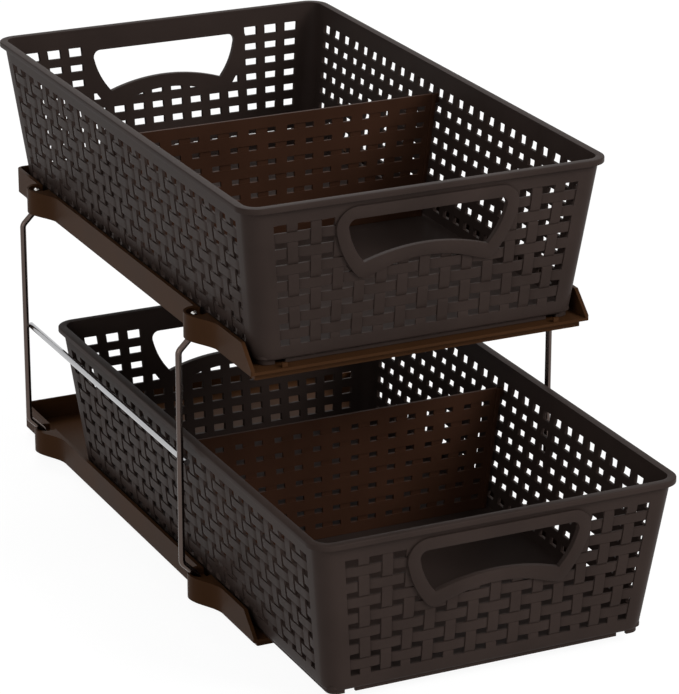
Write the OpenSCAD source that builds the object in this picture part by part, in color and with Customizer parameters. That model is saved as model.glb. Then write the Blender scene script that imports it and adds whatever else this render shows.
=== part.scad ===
// Two-tier under sink organizer: two slide trays on bent wire legs, each with a
// pull-out woven-look basket and a lift-out divider. X is the width, -Y the front, Z up.
// The origin is the middle of the lower tray's base, on the surface it stands on.

/* [Tiers] */
// Height from one tray to the next
tier_h = 178.9; // [160:1:240]
// How far each basket's middle lies behind its tray's middle when pushed in
pushed_in_y = 1.3; // [0:0.1:1.4]
// How far the lower basket is pulled out
lower_pull = 100; // [0:1:300]

/* [Tray] */
// Width over the rails
tray_w = 234.8; // [230:0.1:238]
// Length from the front edge to the rear wall
tray_l = 410; // [408:1:430]
// Height of the rails above the skirt
rail_h = 17; // [16:0.5:24]
// Thickness of the side rails
rail_t = 2.5; // [1.5:0.1:3]
// Thickness of the rear wall
rear_wall_t = 1.3; // [1:0.1:1.4]
// Radius of the tray's rear corners
tray_corner_r = 6; // [4:0.5:8]
// Height of the skirt that the tray stands on
skirt_h = 4.6; // [4:0.1:8]
// How far the skirt lies inside the tray's edge
skirt_inset = 4.2; // [2:0.1:8]
// Thickness of the skirt and of the ribs under the floor
skirt_t = 2.5; // [1.5:0.1:4]
// Thickness of the tray's floor
tray_floor_t = 1.9; // [1.5:0.1:3]
// Length over which the rails slope down to the front edge
rail_slope = 15.4; // [8:0.1:25]
// Height of the rails' front end above the floor's underside
rail_nose_h = 2.6; // [2:0.1:6]

/* [Stop pegs] */
// Distance of each stop peg in from the rail's outer face
peg_inset = 23.1; // [20:0.1:50]
// Width of a stop peg
peg_w = 3.6; // [2:0.1:6]
// Depth of a stop peg, front to back
peg_d = 1.8; // [1:0.1:3]
// Height of a stop peg above the tray's floor
peg_h = 2.9; // [1:0.1:3]
// Distance from the tray's front edge to the peg's front
peg_setback = 1.2; // [0.5:0.1:3]
// Room around a peg in the basket's front foot
peg_clearance = 1.8; // [0.6:0.1:3]

/* [Lugs] */
// Radius of each leg lug, seen from above
lug_r = 10.6; // [10.4:0.1:12]
// Length over which a lug fairs forward into the rail
lug_fairing = 31; // [20:1:40]
// Radius of the cup in the top of a lug
lug_cup_r = 7.2; // [6.5:0.1:7.4]
// Depth of the cup in the top of a lug
lug_cup_depth = 4.1; // [3:0.1:5]
// How far the cup's middle lies outside the rail's face
lug_cup_out = 2; // [1:0.1:2.5]
// Radius of the recess in the underside of a lug
lug_recess_r = 5.3; // [5:0.1:5.6]
// How far the recess's middle lies outside the bore's
lug_recess_out = 0.55; // [0.5:0.05:0.6]
// Depth of the recess in the underside of a lug
lug_recess_depth = 5; // [4:0.1:6]

/* [Wire frame] */
// Diameter of the wire
wire_d = 4.2; // [3:0.1:4.4]
// Distance of each leg out from the rail's outer face
leg_out = 15; // [13:0.1:18]
// Distance of the rear legs from the tray's rear wall
leg_rear_inset = 52.9; // [35:0.1:100]
// Distance of the front legs from the tray's front edge
leg_front_inset = 79.1; // [55:0.1:110]
// Distance from a leg inwards to its tip in the lug
leg_jog = 10.9; // [9:0.1:12]
// Radius of the wire's bends, along its middle
bend_r = 5; // [4:0.1:7]
// Room around the wire's tip in the lug
wire_clearance = 0.1; // [0.05:0.01:0.3]
// Gap between the wire's shoulder and the lug that rests on it
shoulder_gap = 0.3; // [0.1:0.1:1]
// Length of the wire's tip beyond the lug's web
tip_reach = 3; // [1:0.1:4]
// Height of the crossbars
crossbar_z = 100.1; // [60:1:140]
// Depth of the weld between a crossbar and a leg
weld_depth = 0.15; // [0.05:0.01:0.4]

/* [Basket] */
// How much wider the basket's rim is than the tray
rim_over_w = 17; // [8:0.1:17.6]
// How much longer the basket's rim is than the tray
rim_over_l = 22.2; // [8:0.1:22.2]
// Height from the foot to the top of the rim
basket_h = 107.1; // [90:0.1:140]
// Thickness of the walls
wall_t = 2.2; // [1.6:0.1:3]
// Lean of the walls from upright, in degrees
wall_lean = 6.95; // [6:0.05:9]
// Radius of the rim's corners
rim_r = 14.5; // [12:0.5:20]
// How far the rim stands out from the wall
rim_out = 3.2; // [2:0.1:5]
// Thickness of the rim
rim_t = 1.9; // [1.2:0.1:3]
// Height of the rim's turned-down edge
rim_lip_h = 3.6; // [2.5:0.1:5]
// Thickness of the rim's turned-down edge
rim_lip_t = 1.3; // [0.8:0.1:2]
// Radius of the rim's outer edge
rim_edge_r = 1.2; // [0.4:0.1:1.3]
// Gap between the basket's foot and the tray's floor
slide_gap = 0.3; // [0.2:0.05:0.6]
// Height of the foot under the floor
foot_h = 4; // [3.4:0.1:6]
// How far the foot lies inside the wall's lower edge
foot_inset = 2.2; // [1:0.1:4]
// Height at which the wall starts above the foot's lower edge
wall_start = 2.6; // [1:0.1:3]
// Thickness of the basket's floor
basket_floor_t = 1.8; // [1.2:0.1:3]

/* [Weave] */
// Distance between the upright strips in the middle of a wall
strip_pitch = 14.76; // [12:0.01:16]
// Width of a corner beyond the columns of the front and rear walls, at the rim
corner_plain_front = 5.12; // [3:0.01:10]
// Width of a corner beyond the columns of the side walls, at the rim
corner_plain_side = 6.76; // [3:0.01:10]
// Holes along the middle of the front and rear walls
mid_front = 8; // [4:2:8]
// Holes along the middle of the side walls
mid_side = 20; // [10:2:20]
// Holes near each corner
end_holes = 3; // [1:1:3]
// Width of the upright strips between holes
strip_w = 5.9; // [4:0.1:8]
// Depth of the top row's centre below the rim
top_row_drop = 16.2; // [13:0.1:20]
// Height of the top row's holes
top_row_h = 6.4; // [4:0.1:7]
// Depth of the second row's centre below the rim
row_drop = 27.5; // [26:0.1:30]
// Height of the last row's centre above the foot
last_row_z = 14.2; // [12:0.1:18]
// Height of the other rows' holes
row_h = 5; // [3:0.1:6]
// Rows of holes in all
rows = 8; // [4:1:8]

/* [Handle] */
// Depth of the handle's top edge below the rim
grip_drop = 16.1; // [14:0.1:20]
// Half the width of the handle hole at its upper corners
grip_half_w = 54.3; // [40:0.1:56]
// Radius of the handle hole's upper corners
grip_corner_r = 5; // [3:0.1:8]
// Height of the handle hole at its lower tips
grip_h = 32; // [26:0.1:34]
// Half the distance between the lower tips
grip_tip_x = 41.8; // [34:0.1:44]
// Height of the arch between the lower tips
grip_arch = 9; // [4:0.1:12]
// How far the handle's sides bow outwards
grip_bow = 1.8; // [0.5:0.1:3]
// Radius of the lower tips
grip_tip_r = 0.8; // [0.5:0.1:2]
// Width of the collar round the handle hole
collar_w = 8.3; // [5:0.1:9]
// How far the collar stands out from the wall
collar_out = 1.6; // [0.5:0.1:2.5]

/* [Divider] */
// Depth of the divider's top edge below the rim
divider_drop = 14.4; // [6:0.1:20]
// Thickness of the divider
divider_t = 2; // [1.5:0.1:3]
// How much smaller the divider's holes are than the basket's
divider_hole_less = 1.2; // [0:0.1:2]
// Gap between the divider's sides and the walls
divider_gap = 3.2; // [1:0.1:5]
// Gap between the divider's foot and the basket's floor
divider_foot_gap = 0.3; // [0.2:0.1:1]
// Height of the ears at the divider's top
ear_h = 6.5; // [4:0.1:12]
// Gap between the ears and the walls
ear_gap = 0.4; // [0.3:0.1:1]

/* [Hidden] */

BASKET_BROWN = [0.235, 0.205, 0.195];
TRAY_BROWN = [0.24, 0.165, 0.125];
DIVIDER_BROWN = [0.27, 0.175, 0.13];
BRONZE = [0.36, 0.29, 0.25];
CHROME = [0.8, 0.8, 0.8];

EPS = 0.02;
// Straight wire is this much thinner than a bend, and runs this far into it
WIRE_STEP = 0.01;
WIRE_OVERLAP = 0.25;
// Room above a stop peg in the notch of a basket's foot
PEG_HEADROOM = 0.5;
ROUND = 48;
ARC_STEPS = 8;

rail_top = skirt_h + rail_h;
tray_floor_z = skirt_h + tray_floor_t;
basket_z = tray_floor_z + slide_gap;
lower_basket_y = pushed_in_y - lower_pull;

peg_x = tray_w / 2 - peg_inset;
leg_x = tray_w / 2 + leg_out;
leg_rear_y = tray_l / 2 - leg_rear_inset;
leg_front_y = leg_front_inset - tray_l / 2;
basket_w = tray_w + rim_over_w;
basket_l = tray_l + rim_over_l;

wire_r = wire_d / 2;
bore_r = wire_r + wire_clearance;
bore_x = leg_x - leg_jog;
cup_x = tray_w / 2 + lug_cup_out;
recess_x = bore_x + lug_recess_out;
web_bottom = skirt_h + lug_recess_depth;
web_top = rail_top - lug_cup_depth;
bend_run = bend_r * tan(22.5);
top_bend_z = tier_h + web_bottom - shoulder_gap - bend_run - leg_jog;
low_bend_z = web_top + shoulder_gap + bend_run + leg_jog;
top_tip_z = tier_h + web_top + tip_reach;
low_tip_z = web_bottom - tip_reach;
crossbar_x = leg_x - wire_d + weld_depth;
// How far a crossbar runs past the legs' middles
crossbar_over = wire_r * 0.6;

lean = tan(wall_lean);
wall_slant_t = wall_t / cos(wall_lean);
corner_r = rim_r - rim_out;
corner_span = acos(lean * lean / (1 + lean * lean));
corner_tilt = atan(lean * sqrt(2));
corner_in = corner_r / cos(corner_span / 2) / sqrt(2);
corner_slant = sqrt(1 + 2 * lean * lean) / sqrt(1 + lean * lean);
corner_cut = corner_r * tan(corner_span / 2) * corner_slant;
rim_in = rim_out + wall_slant_t + lean * rim_t;
wall_top = basket_h - rim_t / 2;
// The corners start just above the lower edge of the walls' inside
corner_start = wall_start + wall_t * sin(wall_lean) + 2 * EPS;
floor_top = foot_h + basket_floor_t;

peg_y = -tray_l / 2 + peg_setback;
divider_y = strip_pitch / 2;
front_end_pitch = end_pitch(basket_w, mid_front, corner_plain_front);
side_end_pitch = end_pitch(basket_l, mid_side, corner_plain_side);

// Half the outside width of a wall at height z, from half the rim's size
function half_at(half_rim, z) = half_rim - rim_out - lean * (basket_h - z);

// Height z measured up the leaning wall
function up_wall(z) = z / cos(wall_lean);

// Points of an arc, from angle a0 to angle a1
function arc(c, r, a0, a1, steps = ARC_STEPS) =
    [for (i = [0:steps]) c + r * [cos(a0 + (a1 - a0) * i / steps), sin(a0 + (a1 - a0) * i / steps)]];

// A rectangle's corner points with rounded corners: rf at the front, rb at the back
function rounded_points(w, l, rf, rb) = concat(
    arc([w / 2 - rf, -l / 2 + rf], rf, -90, 0),
    arc([w / 2 - rb, l / 2 - rb], rb, 0, 90),
    arc([-w / 2 + rb, l / 2 - rb], rb, 90, 180),
    arc([-w / 2 + rf, -l / 2 + rf], rf, 180, 270)
);

// Distance between rows of holes below the top row, which fill out the wall
row_pitch = (basket_h - row_drop - last_row_z) / (rows - 2);

// Depth of a row's centre below the rim, and the height of its holes
function row_centre(j) = j == 0 ? top_row_drop : row_drop + row_pitch * (j - 1);
function hole_h(j) = j == 0 ? top_row_h : row_h;

// Spacing of the columns near a corner, at the rim, which fills out the wall
function end_pitch(rim, mid, plain) =
    (rim / 2 - rim_out - plain - (mid - 1) / 2 * strip_pitch) / (end_holes + 1);

// The same further down, where they draw together as the wall narrows
function end_step(c, drop) = c[2] - lean * drop / (end_holes + 1);

// Columns as [place of the last middle hole, steps beyond it, size of a step at the rim]
function columns(mid, step) = let (edge = (mid - 1) / 2 * strip_pitch) concat(
    [for (m = [end_holes:-1:1]) [-edge, -m, step]],
    [for (k = [0:mid - 1]) [-edge + k * strip_pitch, 0, step]],
    [for (m = [1:end_holes]) [edge, m, step]]
);
function column_x(c, drop) = c[0] + c[1] * end_step(c, drop);
function column_w(c, drop) = (c[1] == 0 ? strip_pitch : end_step(c, drop)) - strip_w;

// A hole's corners as [x, z] with z up from the basket's foot, the hole smaller by less
function hole_points(c, j, less = 0) = let (
    top = row_centre(j) - (hole_h(j) - less) / 2,
    bottom = row_centre(j) + (hole_h(j) - less) / 2
) [
    [column_x(c, bottom) - (column_w(c, bottom) - less) / 2, basket_h - bottom],
    [column_x(c, bottom) + (column_w(c, bottom) - less) / 2, basket_h - bottom],
    [column_x(c, top) + (column_w(c, top) - less) / 2, basket_h - top],
    [column_x(c, top) - (column_w(c, top) - less) / 2, basket_h - top]
];

// A sheet with its holes: outline and holes are lists of points
module sheet(outline, holes) {
    all_points = concat(outline, [for (h = holes) each h]);
    count = len(outline);
    polygon(
        points = all_points,
        paths = concat(
            [[for (i = [0:count - 1]) i]],
            [for (n = [0:len(holes) - 1]) [for (i = [0:3]) count + 4 * n + i]]
        )
    );
}

// The handle hole's outline, grown outwards by g; its middle is x = 0. Its arcs leave
// out the degrees next to a lower tip, where straight lines join them
function grip_outline(g) = let (
    top = basket_h - grip_drop,
    tip_z = top - grip_h + grip_tip_r,
    tip_x = grip_tip_x - grip_tip_r / 2,
    corner = [grip_half_w - grip_corner_r, top - grip_corner_r],
    start = [grip_half_w, top - grip_corner_r],
    end = [tip_x + grip_tip_r, tip_z],
    chord = norm(start - end),
    side_r = (chord * chord / 4 + grip_bow * grip_bow) / (2 * grip_bow),
    lean_a = atan2(start[1] - end[1], start[0] - end[0]) - 90,
    mid = (start + end) / 2,
    side_c = mid - (side_r - grip_bow) * [cos(lean_a), sin(lean_a)],
    side_half = asin(chord / 2 / side_r),
    arch_r = (tip_x * tip_x + grip_arch * grip_arch) / (2 * grip_arch),
    arch_c = [0, tip_z - grip_tip_r + grip_arch - arch_r],
    arch_half = asin(tip_x / arch_r),
    arch_end = arch_half * 0.9,
    tip_skip = 20,
    right = concat(
        arc(corner, grip_corner_r + g, 90, lean_a + side_half),
        arc(side_c, side_r + g, lean_a + side_half - 2, lean_a - side_half),
        arc([tip_x, tip_z], grip_tip_r + g, lean_a - side_half - tip_skip, arch_half - 90 - tip_skip)
    ),
    arch = arc(arch_c, arch_r - g, 90 - arch_end, 90 + arch_end, 2 * ARC_STEPS),
    left = [for (i = [len(right) - 1:-1:0]) [-right[i][0], right[i][1]]]
) concat(right, arch, left);

function up_points(points) = [for (p = points) [p[0], up_wall(p[1])]];

// True where a hole lies wholly behind the handle's collar
function behind_collar(c, j) = c[1] == 0 && row_centre(j) + hole_h(j) / 2 < grip_drop + grip_h - grip_arch;

// One leaning wall with its outside at the front; across and along are the rim's sizes
module wall(across, along, all_columns, with_grip) {
    low = half_at(across / 2, wall_start) - corner_cut;
    high = half_at(across / 2, wall_top) - corner_cut;
    outline = [[-low, wall_start], [low, wall_start], [high, wall_top], [-high, wall_top]];
    holes = [for (c = all_columns) for (j = [0:rows - 1])
        if (!(with_grip && behind_collar(c, j))) up_points(hole_points(c, j))];
    translate([0, -half_at(along / 2, 0), 0])
        rotate([90 + wall_lean, 0, 0])
            difference() {
                union() {
                    translate([0, 0, -wall_t])
                        linear_extrude(wall_t) sheet(up_points(outline), holes);
                    if (with_grip)
                        translate([0, 0, -wall_t])
                            linear_extrude(wall_t + collar_out) polygon(up_points(grip_outline(collar_w)));
                }
                if (with_grip)
                    translate([0, 0, -wall_t - 1])
                        linear_extrude(wall_t + collar_out + 2) polygon(up_points(grip_outline(0)));
            }
}

// The rounded corner between two walls, its axis leaning out with both
module wall_corner() {
    intersection() {
        translate([half_at(basket_w / 2, 0), half_at(basket_l / 2, 0), 0])
            rotate(a = corner_tilt, v = [-1, 1, 0])
                translate([-corner_in, -corner_in, -wall_t * 2])
                    rotate([0, 0, 45 - corner_span / 2])
                        rotate_extrude(angle = corner_span, $fn = ROUND)
                            translate([corner_r - wall_t, 0]) square([wall_t, basket_h * 1.1]);
        translate([0, 0, corner_start]) cube([basket_w, basket_l, wall_top - corner_start]);
    }
}

// The rim's section: x runs outwards to the rim's edge at 0, y down from the rim's top
module rim_section() {
    polygon(concat(
        [[-rim_in, -rim_t], [-rim_in, 0]],
        arc([-rim_edge_r, -rim_edge_r], rim_edge_r, 90, 0, 4),
        [[0, -rim_lip_h], [-rim_lip_t, -rim_lip_h], [-rim_lip_t, -rim_t]]
    ));
}

module rim_run(length, out) {
    translate([out, length / 2, basket_h]) rotate([90, 0, 0]) linear_extrude(length) rim_section();
}

module rim() {
    run_x = basket_w - 2 * rim_r;
    run_y = basket_l - 2 * rim_r;
    for (a = [0, 180]) rotate([0, 0, a]) {
        rim_run(run_y, basket_w / 2);
        rotate([0, 0, 90]) rim_run(run_x, basket_l / 2);
        for (m = [0, 1]) mirror([m, 0, 0])
            translate([run_x / 2, run_y / 2, basket_h])
                rotate_extrude(angle = 90, $fn = ROUND) translate([rim_r, 0]) rim_section();
    }
}

// Foot wall, floor and the front notches that let the stop pegs through
module basket_base() {
    foot_w = 2 * (half_at(basket_w / 2, wall_start) - foot_inset);
    foot_l = 2 * (half_at(basket_l / 2, wall_start) - foot_inset);
    floor_w = 2 * (half_at(basket_w / 2, foot_h) - wall_t / 2);
    floor_l = 2 * (half_at(basket_l / 2, foot_h) - wall_t / 2);
    inner_r = corner_r - wall_t;
    linear_extrude(foot_h + basket_floor_t / 2)
        difference() {
            polygon(rounded_points(foot_w, foot_l, corner_r, corner_r));
            polygon(rounded_points(foot_w - 2 * wall_t, foot_l - 2 * wall_t, inner_r, inner_r));
        }
    translate([0, 0, foot_h])
        linear_extrude(basket_floor_t) polygon(rounded_points(floor_w, floor_l, corner_r, corner_r));
}

module peg_notches() {
    notch_h = peg_h - slide_gap + PEG_HEADROOM;
    reach = basket_l / 6;
    for (s = [-1, 1])
        translate([s * peg_x - peg_w / 2 - peg_clearance, -basket_l / 2, -EPS])
            cube([peg_w + 2 * peg_clearance, reach, notch_h + EPS]);
}

module basket() {
    color(BASKET_BROWN)
        difference() {
            union() {
                for (a = [0, 180]) rotate([0, 0, a]) {
                    wall(basket_w, basket_l, columns(mid_front, front_end_pitch), true);
                    rotate([0, 0, 90]) wall(basket_l, basket_w, columns(mid_side, side_end_pitch), false);
                    for (m = [0, 1]) mirror([m, 0, 0]) wall_corner();
                }
                rim();
                basket_base();
            }
            peg_notches();
        }
}

// Divider across the basket, with ears that reach towards the side walls
module divider() {
    foot = floor_top + divider_foot_gap;
    top = basket_h - divider_drop;
    inner = wall_slant_t + divider_gap;
    low = half_at(basket_w / 2, foot) - inner;
    high = half_at(basket_w / 2, top) - inner;
    ear = half_at(basket_w / 2, top - ear_h) - wall_slant_t - ear_gap;
    neck = half_at(basket_w / 2, top - ear_h) - inner;
    outline = [
        [-low, foot], [low, foot], [neck, top - ear_h], [ear, top - ear_h],
        [ear, top], [-ear, top], [-ear, top - ear_h], [-neck, top - ear_h]
    ];
    holes = [for (c = columns(mid_front, front_end_pitch)) for (j = [1:rows - 1])
        hole_points(c, j, divider_hole_less)];
    color(DIVIDER_BROWN)
        translate([0, divider_y + divider_t / 2, 0])
            rotate([90, 0, 0]) linear_extrude(divider_t) sheet(outline, holes);
}

// Outline of a lug from above: a half round that fairs forward into the rail
function lug_points() = concat(
    [[0, lug_r], [-rail_t / 2, lug_r], [-rail_t / 2, -lug_fairing], [0, -lug_fairing]],
    [for (i = [ARC_STEPS * 2 - 1:-1:1]) let (d = lug_fairing * i / (ARC_STEPS * 2))
        [lug_r * (1 + cos(180 * d / lug_fairing)) / 2, -d]],
    arc([0, 0], lug_r, 0, 84)
);

module lug_body() {
    translate([tray_w / 2, 0, skirt_h]) linear_extrude(rail_h) polygon(lug_points());
}

module lug_hollows() {
    translate([cup_x, 0, web_top]) cylinder(r = lug_cup_r, h = lug_cup_depth + 1, $fn = ROUND);
    translate([recess_x, 0, skirt_h - 1])
        cylinder(r = lug_recess_r, h = lug_recess_depth + 1, $fn = ROUND);
    translate([bore_x, 0, skirt_h]) cylinder(r = bore_r, h = rail_h, $fn = ROUND);
}

module at_lugs() {
    for (m = [0, 1]) mirror([m, 0, 0])
        for (y = [leg_front_y, leg_rear_y]) translate([0, y, 0]) children();
}

module tray() {
    color(TRAY_BROWN) difference() {
        union() {
            translate([0, 0, skirt_h]) tray_trough();
            tray_skirt();
            at_lugs() lug_body();
            stop_pegs();
        }
        at_lugs() lug_hollows();
    }
}

// Floor, side rails and rear wall, with the rails' front ends sloping down
module tray_trough() {
    over = rail_h + EPS;
    difference() {
        linear_extrude(rail_h) polygon(rounded_points(tray_w, tray_l, 1, tray_corner_r));
        translate([0, -rear_wall_t, tray_floor_t])
            linear_extrude(rail_h)
                polygon(rounded_points(tray_w - 2 * rail_t, tray_l, 1, tray_corner_r - rail_t));
        translate([-tray_w, -tray_l / 2, 0])
            rotate([90, 0, 90])
                linear_extrude(2 * tray_w)
                    polygon([[-1, rail_nose_h], [0, rail_nose_h], [rail_slope, over], [-1, over]]);
    }
}

// Skirt that the tray stands on, with two ribs that cross under the floor
module tray_skirt() {
    skirt_w = tray_w - 2 * skirt_inset;
    skirt_l = tray_l - 2 * skirt_inset;
    inside_r = tray_corner_r - skirt_t;
    linear_extrude(skirt_h) {
        difference() {
            polygon(rounded_points(skirt_w, skirt_l, 1, tray_corner_r));
            polygon(rounded_points(skirt_w - 2 * skirt_t, skirt_l - 2 * skirt_t, 1, inside_r));
        }
        square([skirt_w - skirt_t, skirt_t], center = true);
        square([skirt_t, skirt_l - skirt_t], center = true);
    }
}

module stop_pegs() {
    for (s = [-1, 1])
        translate([s * peg_x - peg_w / 2, peg_y, tray_floor_z - EPS]) cube([peg_w, peg_d, peg_h + EPS]);
}

// Straight wire from the origin up, its ends run into the bends at either end
module straight_wire(length) {
    translate([0, 0, -WIRE_OVERLAP])
        cylinder(r = wire_r - WIRE_STEP, h = length + 2 * WIRE_OVERLAP, $fn = ROUND);
}

// A bend of 45 degrees, upright at its start in the origin and leaning inwards at its end
module wire_bend() {
    translate([-bend_r, 0, 0])
        rotate([90, 0, 0])
            rotate_extrude(angle = 45, $fn = ROUND) translate([bend_r, 0]) circle(r = wire_r);
}

// One end of a leg: from the bend at the origin it steps inwards, then ends upright
module wire_end(tip) {
    slant = leg_jog * sqrt(2) - 2 * bend_run;
    translate([0, 0, -bend_run]) wire_bend();
    rotate([0, -45, 0]) translate([0, 0, bend_run]) straight_wire(slant);
    translate([-leg_jog, 0, leg_jog + bend_run]) rotate([0, 180, 0]) wire_bend();
    translate([-leg_jog, 0, leg_jog + bend_run - WIRE_OVERLAP])
        cylinder(r = wire_r - WIRE_STEP, h = tip - leg_jog - bend_run + WIRE_OVERLAP, $fn = ROUND);
}

module leg() {
    color(BRONZE) {
        translate([leg_x, 0, low_bend_z + bend_run]) straight_wire(top_bend_z - low_bend_z - 2 * bend_run);
        translate([leg_x, 0, top_bend_z]) wire_end(top_tip_z - top_bend_z);
        translate([leg_x, 0, low_bend_z]) mirror([0, 0, 1]) wire_end(low_bend_z - low_tip_z);
    }
}

module crossbar() {
    length = leg_rear_y - leg_front_y + 2 * crossbar_over;
    color(CHROME)
        translate([crossbar_x, leg_rear_y + crossbar_over, crossbar_z])
            rotate([90, 0, 0]) cylinder(r = wire_r, h = length, $fn = ROUND);
}

module lower_tray() tray();
module upper_tray() translate([0, 0, tier_h]) tray();
module lower_basket() translate([0, lower_basket_y, basket_z]) basket();
module upper_basket() translate([0, pushed_in_y, tier_h + basket_z]) basket();
module lower_divider() translate([0, lower_basket_y, basket_z]) divider();
module upper_divider() translate([0, pushed_in_y, tier_h + basket_z]) divider();
module right_rear_leg() translate([0, leg_rear_y, 0]) leg();
module right_front_leg() translate([0, leg_front_y, 0]) leg();
module left_rear_leg() mirror([1, 0, 0]) right_rear_leg();
module left_front_leg() mirror([1, 0, 0]) right_front_leg();
module right_crossbar() crossbar();
module left_crossbar() mirror([1, 0, 0]) crossbar();

lower_tray();
upper_tray();
lower_basket();
upper_basket();
lower_divider();
upper_divider();
left_rear_leg();
left_front_leg();
right_rear_leg();
right_front_leg();
left_crossbar();
right_crossbar();
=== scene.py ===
import math

import bmesh
import bpy
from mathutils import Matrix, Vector


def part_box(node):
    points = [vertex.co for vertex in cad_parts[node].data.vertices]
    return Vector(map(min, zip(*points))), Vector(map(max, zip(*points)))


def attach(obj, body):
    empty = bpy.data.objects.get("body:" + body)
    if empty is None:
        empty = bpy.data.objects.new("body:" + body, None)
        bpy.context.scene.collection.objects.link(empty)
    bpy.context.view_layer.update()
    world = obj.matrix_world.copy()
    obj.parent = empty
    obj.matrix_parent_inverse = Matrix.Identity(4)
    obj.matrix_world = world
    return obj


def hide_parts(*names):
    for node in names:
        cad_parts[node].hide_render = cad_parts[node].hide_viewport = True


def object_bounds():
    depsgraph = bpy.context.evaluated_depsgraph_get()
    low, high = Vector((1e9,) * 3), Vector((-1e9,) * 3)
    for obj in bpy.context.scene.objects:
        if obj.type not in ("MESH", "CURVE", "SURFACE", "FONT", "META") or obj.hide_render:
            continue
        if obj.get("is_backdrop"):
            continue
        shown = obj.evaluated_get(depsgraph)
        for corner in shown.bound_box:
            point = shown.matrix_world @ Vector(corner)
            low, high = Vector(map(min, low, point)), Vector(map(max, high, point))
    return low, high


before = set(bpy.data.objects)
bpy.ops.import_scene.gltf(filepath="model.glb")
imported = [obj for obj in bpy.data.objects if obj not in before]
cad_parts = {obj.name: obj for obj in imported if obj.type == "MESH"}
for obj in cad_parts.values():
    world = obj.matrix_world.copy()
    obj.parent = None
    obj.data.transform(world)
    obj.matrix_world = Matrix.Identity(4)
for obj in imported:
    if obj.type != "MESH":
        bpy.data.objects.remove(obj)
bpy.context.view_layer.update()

mm = 0.001
smoothUpTo = math.radians(30)

# Baskets: millimetres, up from the foot, about the basket's middle
basket = {
    "width": 251.8,
    "length": 432.2,
    "height": 107.1,
    "lean": 6.95,
    "wall": 2.2,
    "cornerRadius": 11.3,
    "rimOut": 3.2,
    "wallStart": 2.6,
    "bottomCurl": 2.2,
}
slope = math.tan(math.radians(basket["lean"]))

# The walls' weave: strips are uprights, gaps are the level bands between two rows of holes
weave = {
    "pitch": 14.76,
    "endPitch": 16.48,
    "strip": 7.3,
    "stripInside": 5.9,
    "endHoles": 3,
    "frontHoles": 4,
    "sideHoles": 10,
    "topDrop": 16.2,
    "topHeight": 5.6,
    "rowDrop": 27.5,
    "rowPitch": 10.9,
    "rowHeight": 4.2,
    "tallerInside": 0.8,
    "rows": 8,
    "dive": 0.75,
    "diveRun": 0.75,
    "edge": 0.16,
    "stations": (-0.5, -0.2, 0.2, 0.5),
}

handle = {
    "drop": 16.1,
    "halfWidth": 54.3,
    "cornerRadius": 5,
    "height": 30,
    "tipX": 42.6,
    "arch": 7,
    "collarHeight": 32,
    "collarTipX": 41.8,
    "collarArch": 9,
    "bow": 1.8,
    "tipRadius": 0.8,
    "collarWidth": 8.3,
    "collarOut": 1.6,
    "insideWidth": 9.1,
    "insideFrom": 1.1,
    "insideFlush": 2.26,
    "cutAt": 4,
    "edge": 0.3,
}

rim = {"radius": 14.5, "thick": 1.9, "lip": 3.6, "lipThick": 1.3, "inward": 5.65, "edge": 0.8, "soft": 0.3}

base = {
    "foot": 4.9,
    "footInset": 2.2,
    "floorLow": 4.0,
    "floorThick": 1.8,
    "notchX": 94.3,
    "notchWidth": 7.2,
    "notchHeight": 3.1,
}


def halfAt(half, z):
    return half - basket["rimOut"] - slope * (basket["height"] - z)


def rowCentre(row):
    return weave["topDrop"] if row == 0 else weave["rowDrop"] + weave["rowPitch"] * (row - 1)


def rowHeight(row):
    return weave["topHeight"] if row == 0 else weave["rowHeight"]


# Lines up a wall, from its middle outwards: (middle hole's place, steps beyond it, share of the hole's width)
def columnLines(middleHoles):
    lines, kinds = [(0, 0, 0)], []
    for n in range(middleHoles + weave["endHoles"]):
        kinds += [("strip", n)] + [("hole", n)] * 3
        lines += [holeLine(middleHoles, n, share) for share in weave["stations"]]
    return lines, kinds + [("plain", middleHoles + weave["endHoles"])]


def holeLine(middleHoles, n, share):
    return (min(n, middleHoles - 1) + 0.5) * weave["pitch"], max(0, n - middleHoles + 1), share


# Where a line lies along its wall, at a depth below the rim
def alongWall(line, drop, strip):
    place, steps, share = line
    step = weave["endPitch"] - slope * drop / (weave["endHoles"] + 1)
    return place + steps * step + share * ((step if steps else weave["pitch"]) - strip)


# Levels of a wall from its foot up, and what lies between them
def rowLevels(taller=0):
    curl, start = basket["bottomCurl"], basket["wallStart"]
    levels = [start + curl * (1 - math.cos(math.radians(a))) for a in (0, 30, 60, 90)]
    kinds = [("plain", -1)] * 3
    for row in reversed(range(weave["rows"])):
        kinds += [("plain" if row == weave["rows"] - 1 else "gap", row)] + [("hole", row)] * 3
        centre = basket["height"] - rowCentre(row)
        levels += [centre + share * (rowHeight(row) + taller) for share in weave["stations"]]
    return levels + [basket["height"] - 1], kinds + [("plain", -1)]


# The outside of a quarter basket at one line and height, with its outward direction
def outside(line, z, strip):
    w = halfAt(basket["width"] / 2, z)
    l = halfAt(basket["length"] / 2, z)
    r = basket["cornerRadius"]
    kind, value = line
    drop = basket["height"] - z
    if kind == "front":
        point, out = Vector((alongWall(value, drop, strip), -l, z)), Vector((0, -1, 0))
    elif kind == "side":
        point, out = Vector((w, -alongWall(value, drop, strip), z)), Vector((1, 0, 0))
    else:
        out = Vector((math.sin(value), -math.cos(value), 0))
        point = Vector((w - r, r - l, z)) + out * r
    curl = basket["bottomCurl"]
    over = basket["wallStart"] + curl - z
    if over > 0:
        point -= out * (curl - math.sqrt(max(0, curl * curl - over * over)))
    return point, (out - Vector((0, 0, slope * (abs(out.x) + abs(out.y))))).normalized()


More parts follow.
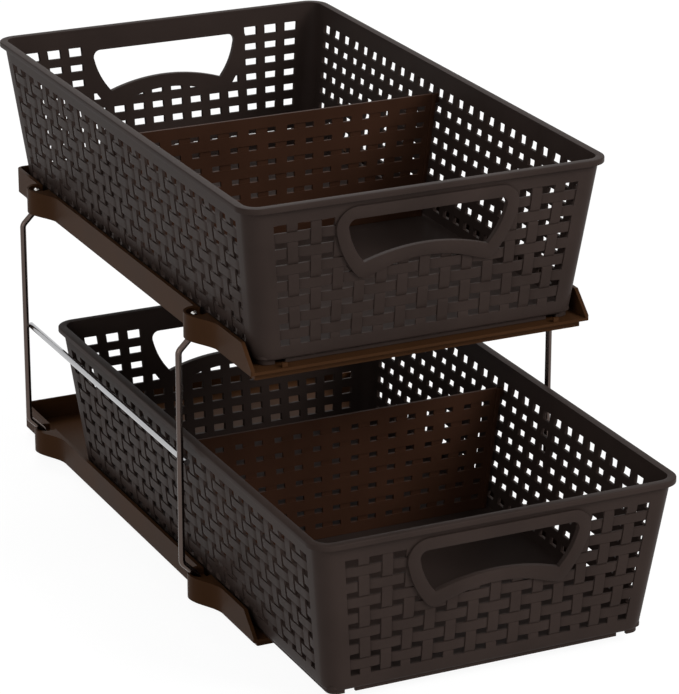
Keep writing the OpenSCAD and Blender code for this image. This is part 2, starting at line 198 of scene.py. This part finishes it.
def mirrorAcross(bm, axes="XY"):
    for axis in axes:
        bmesh.ops.mirror(bm, geom=bm.verts[:] + bm.edges[:] + bm.faces[:], merge_dist=0.002, axis=axis)
    bmesh.ops.remove_doubles(bm, verts=bm.verts, dist=0.002)
    bmesh.ops.recalc_face_normals(bm, faces=bm.faces)


# A quarter of the four walls with their holes, from the middle of the front to the middle of a side
def pierceQuarter():
    frontLines, frontKinds = columnLines(weave["frontHoles"])
    sideLines, sideKinds = columnLines(weave["sideHoles"])
    bends = [math.radians(a) for a in range(0, 91, 10)]
    lines = [("front", x) for x in frontLines] + [("bend", a) for a in bends]
    lines += [("side", x) for x in reversed(sideLines)]
    kinds = [("front",) + k for k in frontKinds] + [("bend", "plain", 0)] * (len(bends) - 1)
    kinds += [("side",) + k for k in reversed(sideKinds)]
    levels, rowKinds = rowLevels()
    innerLevels = rowLevels(weave["tallerInside"])[0]
    across, up = len(lines) - 1, len(levels) - 1
    bm = bmesh.new()
    col, row, inner = (bm.verts.layers.int.new(n) for n in ("col", "row", "inner"))
    sink = bm.verts.layers.float.new("sink")
    cell = bm.faces.layers.int.new("cell")
    bmesh.ops.create_grid(bm, x_segments=across, y_segments=up, size=1)
    for v in bm.verts:
        v[col], v[row] = round((v.co.x + 1) / 2 * across), round((v.co.y + 1) / 2 * up)
    for f in bm.faces:
        c = f.calc_center_median()
        f[cell] = int((c.y + 1) / 2 * up) * 1000 + int((c.x + 1) / 2 * across)
    holes = [f for f in bm.faces if kinds[f[cell] % 1000][1] == "hole" and rowKinds[f[cell] // 1000][0] == "hole"]
    bmesh.ops.delete(bm, geom=holes, context="FACES")
    bmesh.ops.solidify(bm, geom=bm.faces[:], thickness=0.1)
    for v in bm.verts:
        v[inner] = abs(v.co.z) > 0.05
        if v[inner]:
            point, out = outside(lines[v[col]], innerLevels[v[row]], weave["stripInside"])
            v.co = point - out * basket["wall"]
        else:
            v.co = outside(lines[v[col]], levels[v[row]], weave["strip"])[0]
    ends = [f for f in bm.faces if any(all(v[col] == end for v in f.verts) for end in (0, across))]
    bmesh.ops.delete(bm, geom=ends, context="FACES")
    return bm, kinds, levels, rowKinds, (inner, sink, cell)


# How deep a strand lies at a distance from where it dives under another
def sinkAlong(distance, span):
    share = min(1, max(0, distance / (span * weave["diveRun"])))
    return weave["dive"] * (1 - share) ** 3


# Raises each over-lying strand, as a plain weave, and sinks what it crosses
def weaveQuarter(bm, kinds, levels, rowKinds, layers):
    inner, sink, cell = layers
    woven = [f for f in bm.faces if not any(v[inner] for v in f.verts)]
    faceAt = {f[cell]: f for f in woven}
    plain = {v for f in woven if "plain" in (kinds[f[cell] % 1000][1], rowKinds[f[cell] // 1000][0]) for v in f.verts}
    for v in {v for f in woven for v in f.verts}:
        v[sink] = 0 if v in plain else weave["dive"]
    rows = {}
    for r, kind in enumerate(rowKinds):
        rows.setdefault(kind, []).append(r)
    last = weave["rows"] - 1

    def raiseStrand(tiles, cells, depthAt):
        faces = [faceAt[r * 1000 + c] for r in tiles for c in cells]
        bmesh.ops.inset_region(bm, faces=faces, thickness=weave["edge"], use_even_offset=True)
        for v in {v for f in faces for v in f.verts}:
            v[sink] = depthAt(v.co)

    for wall, middleHoles in (("front", weave["frontHoles"]), ("side", weave["sideHoles"])):
        holeCount = middleHoles + weave["endHoles"]
        along = 0 if wall == "front" else 1
        columns = {}
        for c, kind in enumerate(kinds):
            if kind[0] == wall:
                columns.setdefault(kind[1:], []).append(c)

        def holeEnds(n, drop):
            return [alongWall(holeLine(middleHoles, n, share), drop, weave["strip"]) for share in (-0.5, 0.5)]

        def uprightDepth(co, gap):
            depth = 0
            for side, hole in ((1, rows.get(("hole", gap))), (-1, rows.get(("hole", gap + 1)))):
                if hole:
                    low, high = levels[hole[0]], levels[hole[-1] + 1]
                    if (co.z > low - 0.01) if side > 0 else (co.z < high + 0.01):
                        depth = sinkAlong(high - co.z if side > 0 else co.z - low, high - low)
            return depth

        def levelDepth(co, strip):
            place, depth = abs(co[along]), 0
            if strip > 0:
                low, high = holeEnds(strip - 1, basket["height"] - co.z)
                if place < high + 0.01:
                    depth = sinkAlong(place - low, high - low)
            if strip < holeCount:
                low, high = holeEnds(strip, basket["height"] - co.z)
                if place > low - 0.01:
                    depth = sinkAlong(high - place, high - low)
            return depth

        for strip in range(holeCount + 1):
            for gap in range(-1, last + 1):
                if (strip + gap) % 2 == 1 and strip < holeCount:
                    tiles = [r for key in (("hole", gap), ("gap", gap), ("hole", gap + 1)) for r in rows.get(key, [])]
                    raiseStrand(tiles, columns[("strip", strip)], lambda co: uprightDepth(co, gap))
                elif (strip + gap) % 2 == 0 and 0 <= gap < last:
                    cells = [c for key in (("hole", strip - 1), ("strip", strip), ("hole", strip)) for c in columns.get(key, [])]
                    raiseStrand(rows[("gap", gap)], cells, lambda co: levelDepth(co, strip))
    tilt = math.radians(basket["lean"])
    for v in bm.verts:
        if v[sink] > 0 and not v[inner]:
            side = v.co.x > halfAt(basket["width"] / 2, v.co.z) - 0.6
            v.co -= Vector((math.cos(tilt) * side, -math.cos(tilt) * (not side), -math.sin(tilt))) * v[sink]


# Half of the handle's outline, grown outwards: edges only, in the XZ plane
def handleOutline(bm, grow):
    kind = "collar" if grow else ""
    height, tipX, arch = (handle[kind + n if kind else n[0].lower() + n[1:]] for n in ("Height", "TipX", "Arch"))
    top = basket["height"] - handle["drop"]
    tip = Vector((tipX - handle["tipRadius"] / 2, 0, top - height + handle["tipRadius"]))
    corner = Vector((handle["halfWidth"] - handle["cornerRadius"], 0, top - handle["cornerRadius"]))
    start = corner + Vector((handle["cornerRadius"], 0, 0))
    end = tip + Vector((handle["tipRadius"], 0, 0))
    chord = (start - end).length
    sideRadius = (chord**2 / 4 + handle["bow"] ** 2) / (2 * handle["bow"])
    turn = math.atan2(start.z - end.z, start.x - end.x) - math.pi / 2
    sideCentre = (start + end) / 2 - (sideRadius - handle["bow"]) * Vector((math.cos(turn), 0, math.sin(turn)))
    half = math.asin(chord / 2 / sideRadius)
    archRadius = (tip.x**2 + arch**2) / (2 * arch)
    archCentre = Vector((0, 0, tip.z - handle["tipRadius"] + arch - archRadius))
    archHalf = math.asin(tip.x / archRadius)
    right = math.pi / 2
    arcs = [
        (corner, handle["cornerRadius"] + grow, right, turn + half, 8),
        (sideCentre, sideRadius + grow, turn + half - 0.035, turn - half, 8),
        (tip, handle["tipRadius"] + grow, turn - half - 0.35, archHalf - right - 0.35, 8),
        (archCentre, archRadius - grow, right - archHalf * 0.9, right, 12),
    ]
    before = bm.verts.new((0, 0, top + grow))
    for centre, radius, a, b, steps in arcs:
        first = bm.verts.new(centre + radius * Vector((math.cos(a), 0, math.sin(a))))
        bm.edges.new((before, first))
        spun = bmesh.ops.spin(bm, geom=[first], cent=centre, axis=(0, -1, 0), angle=b - a, steps=steps)
        before = spun["geom_last"][0]


def leanOnto(bm, rear=False):
    for v in bm.verts:
        v.co.y -= halfAt(basket["length"] / 2, v.co.z)
    if rear:
        bmesh.ops.scale(bm, vec=(1, -1, 1), verts=bm.verts)
        bmesh.ops.reverse_faces(bm, faces=bm.faces)


# A ring round a handle hole, between two depths
def handleRing(width, front, back):
    bm = bmesh.new()
    handleOutline(bm, 0)
    handleOutline(bm, width)
    mirrorAcross(bm, "X")
    bmesh.ops.bridge_loops(bm, edges=bm.edges[:])
    bmesh.ops.translate(bm, vec=(0, back, 0), verts=bm.verts)
    out = bmesh.ops.extrude_face_region(bm, geom=bm.faces[:])["geom"]
    bmesh.ops.translate(bm, vec=(0, front - back, 0), verts=[v for v in out if isinstance(v, bmesh.types.BMVert)])
    bmesh.ops.recalc_face_normals(bm, faces=bm.faces)
    return bm


# The raised collar outside, with its outer edges eased
def handleCollar():
    bm = handleRing(handle["collarWidth"], -handle["collarOut"], handle["insideFrom"])
    shown = [e for e in bm.edges if e.calc_face_angle(0) > 1 and all(v.co.y < 0 for v in e.verts)]
    bmesh.ops.bevel(bm, geom=shown, offset=handle["edge"], segments=2, profile=0.5, affect="EDGES", material=-1)
    return bm


def handleCutter():
    bm = bmesh.new()
    handleOutline(bm, handle["cutAt"])
    mirrorAcross(bm, "X")
    bmesh.ops.contextual_create(bm, geom=bm.edges[:])
    bmesh.ops.translate(bm, vec=(0, 8, 0), verts=bm.verts)
    out = bmesh.ops.extrude_face_region(bm, geom=bm.faces[:])["geom"]
    bmesh.ops.translate(bm, vec=(0, -16, 0), verts=[v for v in out if isinstance(v, bmesh.types.BMVert)])
    bmesh.ops.recalc_face_normals(bm, faces=bm.faces)
    return bm


# A rounded rectangle as one face
def roundedPlate(bm, halfX, halfY, radius, z):
    made = bmesh.ops.create_grid(bm, x_segments=1, y_segments=1, size=1)["verts"]
    bmesh.ops.scale(bm, vec=(halfX, halfY, 1), verts=made)
    bmesh.ops.translate(bm, vec=(0, 0, z), verts=made)
    bmesh.ops.bevel(bm, geom=made, offset=radius * 0.586, segments=8, profile=0.5, affect="VERTICES", material=-1)


def raiseFaces(bm, height):
    out = bmesh.ops.extrude_face_region(bm, geom=bm.faces[:])["geom"]
    bmesh.ops.translate(bm, vec=(0, 0, height), verts=[v for v in out if isinstance(v, bmesh.types.BMVert)])
    bmesh.ops.recalc_face_normals(bm, faces=bm.faces)


# Floor of a basket
def basketFloor():
    bm = bmesh.new()
    inset = basket["wall"] / 2
    halfX, halfY = (halfAt(basket[n] / 2, base["floorLow"]) - inset for n in ("width", "length"))
    roundedPlate(bm, halfX, halfY, basket["cornerRadius"] - inset, base["floorLow"])
    raiseFaces(bm, base["floorThick"])
    return bm


# Foot under the floor, with the front notches that let the stop pegs through
def basketFoot():
    bm = bmesh.new()
    halfX, halfY = (halfAt(basket[n] / 2, basket["wallStart"]) - base["footInset"] for n in ("width", "length"))
    roundedPlate(bm, halfX, halfY, basket["cornerRadius"], 0)
    bmesh.ops.inset_region(bm, faces=bm.faces[:], thickness=basket["wall"], use_boundary=True, use_even_offset=True)
    middle = [f for f in bm.faces if len(f.verts) > 4]
    bmesh.ops.delete(bm, geom=middle, context="FACES")
    raiseFaces(bm, base["foot"])
    cutter = bmesh.new()
    for side in (-1, 1):
        block = bmesh.ops.create_cube(cutter, size=1)["verts"]
        bmesh.ops.scale(cutter, vec=(base["notchWidth"], 12, 2 * base["notchHeight"]), verts=block)
        bmesh.ops.translate(cutter, vec=(side * base["notchX"], -halfY, 0), verts=block)
    return cutAway(bm, cutter)


# Rim: its section runs along half a side, round the corner and along half the front
def basketRim():
    bm = bmesh.new()
    x, y, z, r = basket["width"] / 2, basket["length"] / 2, basket["height"], rim["radius"]
    section = [
        (-rim["inward"], 0), (0, 0), (0, -rim["lip"]), (-rim["lipThick"], -rim["lip"]),
        (-rim["lipThick"], -rim["thick"]), (-rim["inward"], -rim["thick"]),
    ]
    corners = [bm.verts.new((x + a, 0, z + b)) for a, b in section]
    face = bm.faces.new(corners)
    bmesh.ops.bevel(bm, geom=[corners[1]], offset=rim["edge"], segments=5, profile=0.5, affect="VERTICES", material=-1)
    soft = [v for v in bm.verts if (v.co - Vector((x - rim["inward"], 0, z))).length < 0.01 or v.co.z < z - rim["lip"] + 0.01]
    bmesh.ops.bevel(bm, geom=soft, offset=rim["soft"], segments=2, profile=0.5, affect="VERTICES", material=-1)
    edges = bm.edges[:]
    bmesh.ops.delete(bm, geom=bm.faces[:], context="FACES_ONLY")
    edges = runAlong(bm, edges, Vector((0, r - y, 0)))
    spun = bmesh.ops.spin(bm, geom=edges, cent=(x - r, r - y, 0), axis=(0, 0, -1), angle=math.pi / 2, steps=10)
    edges = [e for e in spun["geom_last"] if isinstance(e, bmesh.types.BMEdge)]
    runAlong(bm, edges, Vector((r - x, 0, 0)))
    mirrorAcross(bm)
    return bm


def runAlong(bm, edges, way):
    out = bmesh.ops.extrude_edge_only(bm, edges=edges)["geom"]
    bmesh.ops.translate(bm, vec=way, verts=[v for v in out if isinstance(v, bmesh.types.BMVert)])
    return [e for e in out if isinstance(e, bmesh.types.BMEdge)]


def meshFrom(bm, name):
    mesh = bpy.data.meshes.new(name)
    bm.to_mesh(mesh)
    bm.free()
    return mesh


# What is left of one closed shape where another is taken away
def cutAway(bm, cutter):
    whole, tool = (bpy.data.objects.new(n, meshFrom(b, n)) for n, b in (("whole", bm), ("tool", cutter)))
    for thing in (whole, tool):
        bpy.context.scene.collection.objects.link(thing)
    cut = whole.modifiers.new("cut", "BOOLEAN")
    cut.operation, cut.solver, cut.object = "DIFFERENCE", "EXACT", tool
    left = bmesh.new()
    left.from_object(whole, bpy.context.evaluated_depsgraph_get())
    for thing in (whole, tool):
        mesh = thing.data
        bpy.data.objects.remove(thing)
        bpy.data.meshes.remove(mesh)
    return left


def joined(shapes):
    whole = bmesh.new()
    for shape in shapes:
        mesh = meshFrom(shape, "part")
        whole.from_mesh(mesh)
        bpy.data.meshes.remove(mesh)
    return whole


def finishPiece(mesh, name, body, slot, *nodes):
    piece = bpy.data.objects.new(name, mesh)
    bpy.context.scene.collection.objects.link(piece)
    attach(piece, body)
    if nodes:
        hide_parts(*nodes)


# A mesh in millimetres becomes one in metres at its place, shaded smooth up to a crease
def placedMesh(bm, name, material, place):
    bmesh.ops.scale(bm, vec=(mm, mm, mm), verts=bm.verts)
    bmesh.ops.translate(bm, vec=place, verts=bm.verts)
    mesh = meshFrom(bm, name)
    mesh.polygons.foreach_set("use_smooth", [True] * len(mesh.polygons))
    mesh.set_sharp_from_angle(angle=smoothUpTo)
    mesh.materials.append(material)
    return mesh


def wovenBasket():
    parts = pierceQuarter()
    walls = parts[0]
    weaveQuarter(*parts)
    mirrorAcross(walls)
    print("woven walls:", len(walls.verts), "vertices")
    for rear in (False, True):
        cutter = handleCutter()
        leanOnto(cutter, rear)
        walls = cutAway(walls, cutter)
    shapes = [walls, basketRim(), basketFloor(), basketFoot()]
    for rear in (False, True):
        for ring in (handleCollar(), handleRing(handle["insideWidth"], handle["insideFrom"], handle["insideFlush"])):
            leanOnto(ring, rear)
            shapes.append(ring)
    return joined(shapes)


# Dividers: a pierced sheet whose cross strands lie back between two holes
divider = {
    "thick": 2,
    "foot": 6.1,
    "top": 91.7,
    "wallGap": 5.42,
    "earHeight": 6.5,
    "earGap": 2.62,
    "halfHoles": 8,
    "halfPitches": 8.2,
    "holeWidth": 5.7,
    "holeHeight": 3.6,
    "rows": 7,
    "firstRow": 82.1,
    "rowPitch": 11.1,
    "recess": 0.9,
    "step": 0.3,
    "behind": 7.38,
    "rib": 3,
    "ribOut": 0.9,
}


def dividerEdge(z):
    return halfAt(basket["width"] / 2, z) - divider["wallGap"]


def dividerSheet():
    levels, rowKinds = [divider["foot"]], ["plain"]
    for row in reversed(range(divider["rows"])):
        half, step = divider["holeHeight"] / 2, divider["step"]
        centre = divider["firstRow"] - divider["rowPitch"] * row
        levels += [centre - half, centre - half + step, centre + half - step, centre + half]
        rowKinds += [("hole", row + 1)] * 3 + ["plain"]
    levels.append(divider["top"])
    # across: middle strip, then holes and strips outwards, then the slanted edge
    lines = range(2 * divider["halfHoles"])
    across, up = 2 * len(lines) + 1, len(levels) - 1
    bm = bmesh.new()
    col, row = (bm.verts.layers.int.new(n) for n in ("col", "row"))
    cell = bm.faces.layers.int.new("cell")
    bmesh.ops.create_grid(bm, x_segments=across, y_segments=up, size=1)
    places = [None] + [(-1, line) for line in reversed(lines)] + [(1, line) for line in lines] + [None]
    for v in bm.verts:
        v[col], v[row] = round((v.co.x + 1) / 2 * across), round((v.co.y + 1) / 2 * up)
    for f in bm.faces:
        c = f.calc_center_median()
        f[cell] = int((c.y + 1) / 2 * up) * 1000 + int((c.x + 1) / 2 * across)

    def isHole(f):
        return (f[cell] % 1000) % 2 == 1 and rowKinds[f[cell] // 1000] != "plain"

    bmesh.ops.delete(bm, geom=[f for f in bm.faces if isHole(f)], context="FACES")
    bmesh.ops.solidify(bm, geom=bm.faces[:], thickness=0.1)
    for v in bm.verts:
        z = levels[v[row]]
        place = places[v[col]]
        if place:
            side, line = place
            pitch = dividerEdge(z) / divider["halfPitches"]
            x = side * ((line // 2 + 0.5) * pitch + (line % 2 - 0.5) * divider["holeWidth"])
        else:
            x = dividerEdge(z) * (-1 if v[col] == 0 else 1)
        front = abs(v.co.z) < 0.05
        y = 0 if front else divider["thick"]
        kind = rowKinds[v[row] - 1] if v[row] else "plain"
        above = rowKinds[v[row]] if v[row] < up else "plain"
        if front and kind == above != "plain" and 0 < v[col] < across:
            stripAt = v[col] // 2  # strips count from 0 at the left edge
            if 0 < stripAt < across // 2 and (stripAt + kind[1]) % 2 == 0:
                y = divider["recess"]
        v.co = (x, y, z)
    bmesh.ops.recalc_face_normals(bm, faces=bm.faces)
    return bm


def dividerTrim():
    bm = bmesh.new()
    neck = divider["top"] - divider["earHeight"]
    for side in (-1, 1):
        corners = [(dividerEdge(divider["foot"]) - divider["rib"], divider["foot"]), (dividerEdge(divider["foot"]), divider["foot"]),
                   (dividerEdge(divider["top"]), divider["top"]), (dividerEdge(divider["top"]) - divider["rib"], divider["top"])]
        slab(bm, [(side * x, z) for x, z in corners], -divider["ribOut"], divider["thick"] + divider["ribOut"])
        ear = halfAt(basket["width"] / 2, neck) - divider["earGap"]
        corners = [(dividerEdge(neck) - 1, neck), (ear, neck), (ear, divider["top"]), (dividerEdge(divider["top"]) - 1, divider["top"])]
        slab(bm, [(side * x, z) for x, z in corners], 0, divider["thick"])
    bmesh.ops.recalc_face_normals(bm, faces=bm.faces)
    edges = [e for e in bm.edges if e.calc_face_angle(0) > 1]
    bmesh.ops.bevel(bm, geom=edges, offset=0.3, segments=2, profile=0.5, affect="EDGES", material=-1)
    return bm


# A flat slab from its corners, between two depths
def slab(bm, corners, front, back):
    face = bm.faces.new([bm.verts.new((x, front, z)) for x, z in corners])
    out = bmesh.ops.extrude_face_region(bm, geom=[face])["geom"]
    bmesh.ops.translate(bm, vec=(0, back - front, 0), verts=[v for v in out if isinstance(v, bmesh.types.BMVert)])


def nodes(material):
    material.use_nodes = True
    tree = material.node_tree
    return tree, tree.nodes["Principled BSDF"]


# Moulded plastic: a faint cloudiness in colour and gloss, and a fine grain
def mouldedPlastic(name, colour, rough, grain, shine, cloud=0.12):
    material = bpy.data.materials.new(name)
    tree, shader = nodes(material)
    make, link = tree.nodes.new, tree.links.new
    shader.inputs["Specular IOR Level"].default_value = shine
    where = make("ShaderNodeTexCoord")
    clouds = make("ShaderNodeTexNoise")
    clouds.inputs["Scale"].default_value = 22
    clouds.inputs["Detail"].default_value = 4
    link(where.outputs["Object"], clouds.inputs["Vector"])
    shades = make("ShaderNodeValToRGB")
    for stop, place, lift in ((0, 0.3, 1 - cloud), (1, 0.7, 1 + cloud)):
        shades.color_ramp.elements[stop].position = place
        shades.color_ramp.elements[stop].color = [c * lift for c in colour] + [1]
    link(clouds.outputs["Fac"], shades.inputs["Fac"])
    link(shades.outputs["Color"], shader.inputs["Base Color"])
    fine = make("ShaderNodeTexNoise")
    fine.inputs["Scale"].default_value = 1400
    fine.inputs["Detail"].default_value = 2
    link(where.outputs["Object"], fine.inputs["Vector"])
    gloss = make("ShaderNodeMapRange")
    gloss.inputs["To Min"].default_value = rough - 0.05
    gloss.inputs["To Max"].default_value = rough + 0.05
    link(clouds.outputs["Fac"], gloss.inputs["Value"])
    link(gloss.outputs["Result"], shader.inputs["Roughness"])
    bump = make("ShaderNodeBump")
    bump.inputs["Strength"].default_value = grain
    bump.inputs["Distance"].default_value = 0.00008
    link(fine.outputs["Fac"], bump.inputs["Height"])
    link(bump.outputs["Normal"], shader.inputs["Normal"])
    return material


# Drawn wire: streaks along its length in gloss and colour
def drawnWire(name, colour, rough, streak):
    material = bpy.data.materials.new(name)
    tree, shader = nodes(material)
    make, link = tree.nodes.new, tree.links.new
    shader.inputs["Metallic"].default_value = 1
    where = make("ShaderNodeTexCoord")
    stretch = make("ShaderNodeMapping")
    stretch.inputs["Scale"].default_value = streak
    link(where.outputs["Object"], stretch.inputs["Vector"])
    grain = make("ShaderNodeTexNoise")
    grain.inputs["Scale"].default_value = 300
    link(stretch.outputs["Vector"], grain.inputs["Vector"])
    gloss = make("ShaderNodeMapRange")
    gloss.inputs["To Min"].default_value = rough * 0.7
    gloss.inputs["To Max"].default_value = rough * 1.3
    link(grain.outputs["Fac"], gloss.inputs["Value"])
    link(gloss.outputs["Result"], shader.inputs["Roughness"])
    shades = make("ShaderNodeValToRGB")
    for stop, lift in ((0, 0.9), (1, 1.08)):
        shades.color_ramp.elements[stop].color = [min(1, c * lift) for c in colour] + [1]
    link(grain.outputs["Fac"], shades.inputs["Fac"])
    link(shades.outputs["Color"], shader.inputs["Base Color"])
    return material


basketPlastic = mouldedPlastic("basketPlastic", (0.041, 0.0285, 0.0245), 0.4, 0.35, 0.025)
trayPlastic = mouldedPlastic("trayPlastic", (0.052, 0.0225, 0.0095), 0.38, 0.25, 0.02)
dividerPlastic = mouldedPlastic("dividerPlastic", (0.049, 0.0215, 0.0125), 0.4, 0.35, 0.03)
bronzeWire = drawnWire("bronzeWire", (0.092, 0.069, 0.06), 0.2, (1, 1, 0.03))
chromeWire = drawnWire("chromeWire", (0.42, 0.42, 0.43), 0.12, (1, 0.03, 1))
cutWire = drawnWire("cutWire", (0.62, 0.6, 0.58), 0.25, (1, 1, 1))

basketMesh = wovenBasket()
sheetMesh = joined([dividerSheet(), dividerTrim()])
for tier in ("upper", "lower"):
    low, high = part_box(tier + "_basket")
    place = Vector((0, (low.y + high.y) / 2, low.z))
    name = tier + "WovenBasket"
    mesh = placedMesh(basketMesh.copy(), name, basketPlastic, place)
    finishPiece(mesh, name, tier + "_drawer", "basket", tier + "_basket")
    behind = Vector((0, (divider["behind"] - divider["thick"] / 2) * mm, 0))
    name = tier + "DividerSheet"
    mesh = placedMesh(sheetMesh.copy(), name, dividerPlastic, place + behind)
    finishPiece(mesh, name, tier + "_partition", "divider", tier + "_divider")
    print(name, "placed")

# The legs' cut ends, seen as small domes in the upper lugs' cups
tips = {"x": 121.5, "rearY": 152.1, "frontY": -125.9, "z": 199.2, "radius": 2.1, "rise": 0.75}
domes = bmesh.new()
for x in (-tips["x"], tips["x"]):
    for y in (tips["rearY"], tips["frontY"]):
        made = bmesh.ops.create_icosphere(domes, subdivisions=3, radius=tips["radius"])["verts"]
        bmesh.ops.scale(domes, vec=(1, 1, tips["rise"]), verts=made)
        bmesh.ops.translate(domes, vec=(x, y, tips["z"]), verts=made)
finishPiece(placedMesh(domes, "legTips", cutWire, Vector()), "legTips", "frame", "leg_wire")

# Trays and wires keep their solids, with real finishes
for name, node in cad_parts.items():
    if name.endswith("_tray"):
        material = trayPlastic
    elif name.endswith("_leg"):
        material = bronzeWire
    elif name.endswith("_crossbar"):
        material = chromeWire
    elif name.endswith("_divider"):
        material = dividerPlastic
    else:
        material = basketPlastic
    node.data.materials.clear()
    node.data.materials.append(material)

# Camera at the photograph's place
view = {
    "place": (-0.9075, -1.9954, 0.9333),
    "azimuth": -25.304,
    "elevation": 20.338,
    "lens": 178.62,
    "shift": (0.00614, -0.01192),
}
camera = bpy.data.objects.new("camera", bpy.data.cameras.new("camera"))
bpy.context.scene.collection.objects.link(camera)
camera.location = view["place"]
a, e = math.radians(view["azimuth"]), math.radians(view["elevation"])
back = Vector((math.sin(a) * math.cos(e), -math.cos(a) * math.cos(e), math.sin(e)))
camera.rotation_euler = (-back).to_track_quat("-Z", "Y").to_euler()
camera.data.lens = view["lens"]
camera.data.sensor_width = 36
camera.data.shift_x, camera.data.shift_y = view["shift"]
bpy.context.scene.camera = camera

# Soft studio light: (name, place, size, power)
lamps = [
    ("keyLamp", (1.5, -2.2, 1.9), 1.3, 50),
    ("fillLamp", (-2.2, -1.5, 1.0), 1.5, 10),
    ("backLamp", (0.3, 1.8, 2.2), 1.2, 20),
]
aim = Vector((0, -0.04, 0.14))
for name, place, size, power in lamps:
    lamp = bpy.data.lights.new(name, "AREA")
    lamp.size, lamp.energy = size, power
    holder = bpy.data.objects.new(name, lamp)
    holder.location = place
    holder.rotation_euler = (aim - Vector(place)).to_track_quat("-Z", "Y").to_euler()
    bpy.context.scene.collection.objects.link(holder)


# 1 where a ray comes from the camera or from a shiny surface
def seenDirectly(tree):
    path = tree.nodes.new("ShaderNodeLightPath")
    most = path.outputs["Is Camera Ray"]
    for kind in ("Is Glossy Ray", "Is Transmission Ray"):
        add = tree.nodes.new("ShaderNodeMath")
        add.operation = "MAXIMUM"
        tree.links.new(most, add.inputs[0])
        tree.links.new(path.outputs[kind], add.inputs[1])
        most = add.outputs[0]
    return most


world = bpy.data.worlds.new("studio")
bpy.context.scene.world = world
world.use_nodes = True
tree = world.node_tree
light = tree.nodes["Background"]
light.inputs["Color"].default_value = (1, 1, 1, 1)
light.inputs["Strength"].default_value = 0.3
white = tree.nodes.new("ShaderNodeBackground")
white.inputs["Color"].default_value = (1, 1, 1, 1)
white.inputs["Strength"].default_value = 1
mix = tree.nodes.new("ShaderNodeMixShader")
tree.links.new(seenDirectly(tree), mix.inputs["Fac"])
tree.links.new(light.outputs[0], mix.inputs[1])
tree.links.new(white.outputs[0], mix.inputs[2])
tree.links.new(mix.outputs[0], tree.nodes["World Output"].inputs["Surface"])

floorMesh = bmesh.new()
bmesh.ops.create_grid(floorMesh, x_segments=1, y_segments=1, size=8)
bmesh.ops.translate(floorMesh, vec=(0, 0, -0.0004), verts=floorMesh.verts)
floor = bpy.data.objects.new("floor", meshFrom(floorMesh, "floor"))
bpy.context.scene.collection.objects.link(floor)
floorPaint = bpy.data.materials.new("floorPaint")
tree, shader = nodes(floorPaint)
shader.inputs["Base Color"].default_value = (0.9, 0.9, 0.9, 1)
shader.inputs["Roughness"].default_value = 0.9
shader.inputs["Specular IOR Level"].default_value = 0
glow = tree.nodes.new("ShaderNodeEmission")
glow.inputs["Strength"].default_value = 1.1
share = tree.nodes.new("ShaderNodeMath")
share.operation = "MULTIPLY"
share.inputs[1].default_value = 0.85
mix = tree.nodes.new("ShaderNodeMixShader")
tree.links.new(seenDirectly(tree), share.inputs[0])
tree.links.new(share.outputs[0], mix.inputs["Fac"])
tree.links.new(shader.outputs[0], mix.inputs[1])
tree.links.new(glow.outputs[0], mix.inputs[2])
tree.links.new(mix.outputs[0], tree.nodes["Material Output"].inputs["Surface"])
floor.data.materials.append(floorPaint)
floor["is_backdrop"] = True

bpy.context.scene.view_settings.view_transform = "Standard"
low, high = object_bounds()
